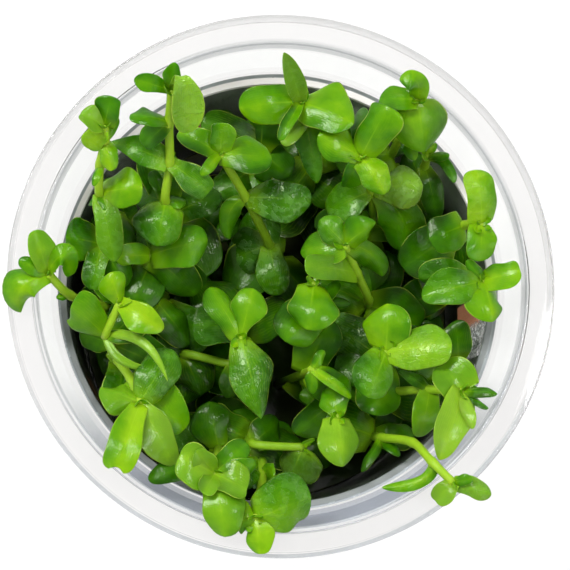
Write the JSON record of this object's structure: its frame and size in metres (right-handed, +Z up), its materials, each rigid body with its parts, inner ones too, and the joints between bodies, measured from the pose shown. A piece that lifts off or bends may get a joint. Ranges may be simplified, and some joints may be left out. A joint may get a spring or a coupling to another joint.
{
  "type": "potted aquatic plant",
  "caption": "Aquatic plant with upright stems and opposite spoon-shaped leaves, crowded in a clear tapering cup with a wide flat rim.",
  "frame": {"origin": "centre of the cup's flat base, on the surface it stands on", "axes": "+Z is up along the cup's axis, -Y is the side nearest the viewer of the picture, +X is the picture's right"},
  "size_m": [0.1, 0.1, 0.0883],
  "materials": {
    "clear_plastic": "clear, smooth",
    "dark_sleeve": "dark, plain",
    "gel": "wet, dark",
    "leaf_green": "satin, yellow-green"
  },
  "bodies": {
    "root": {"jar": "clear_plastic", "nutrient_gel": "gel", "shoot_centre": "leaf_green", "shoot_centre_east": "leaf_green", "shoot_centre_west": "leaf_green", "shoot_east_centre": "leaf_green", "shoot_east_rim": "leaf_green", "shoot_east_upper": "leaf_green", "shoot_east_wall": "leaf_green", "shoot_north": "leaf_green", "shoot_north_back": "leaf_green", "shoot_north_northeast": "leaf_green", "shoot_north_northwest": "leaf_green", "shoot_northeast_rim": "leaf_green", "shoot_northeast_wall": "leaf_green", "shoot_northwest_inner": "leaf_green", "shoot_northwest_outer": "leaf_green", "shoot_northwest_tall": "leaf_green", "shoot_south_back": "leaf_green", "shoot_south_centre": "leaf_green", "shoot_south_inner": "leaf_green", "shoot_south_low": "leaf_green", "shoot_south_rim": "leaf_green", "shoot_south_southwest": "leaf_green", "shoot_southeast": "leaf_green", "shoot_southeast_rim": "leaf_green", "shoot_southwest": "leaf_green", "shoot_west_back": "leaf_green", "shoot_west_edge": "leaf_green", "shoot_west_inner": "leaf_green", "shoot_west_rim": "leaf_green", "sleeve": "dark_sleeve"}
  },
  "joints": []
}
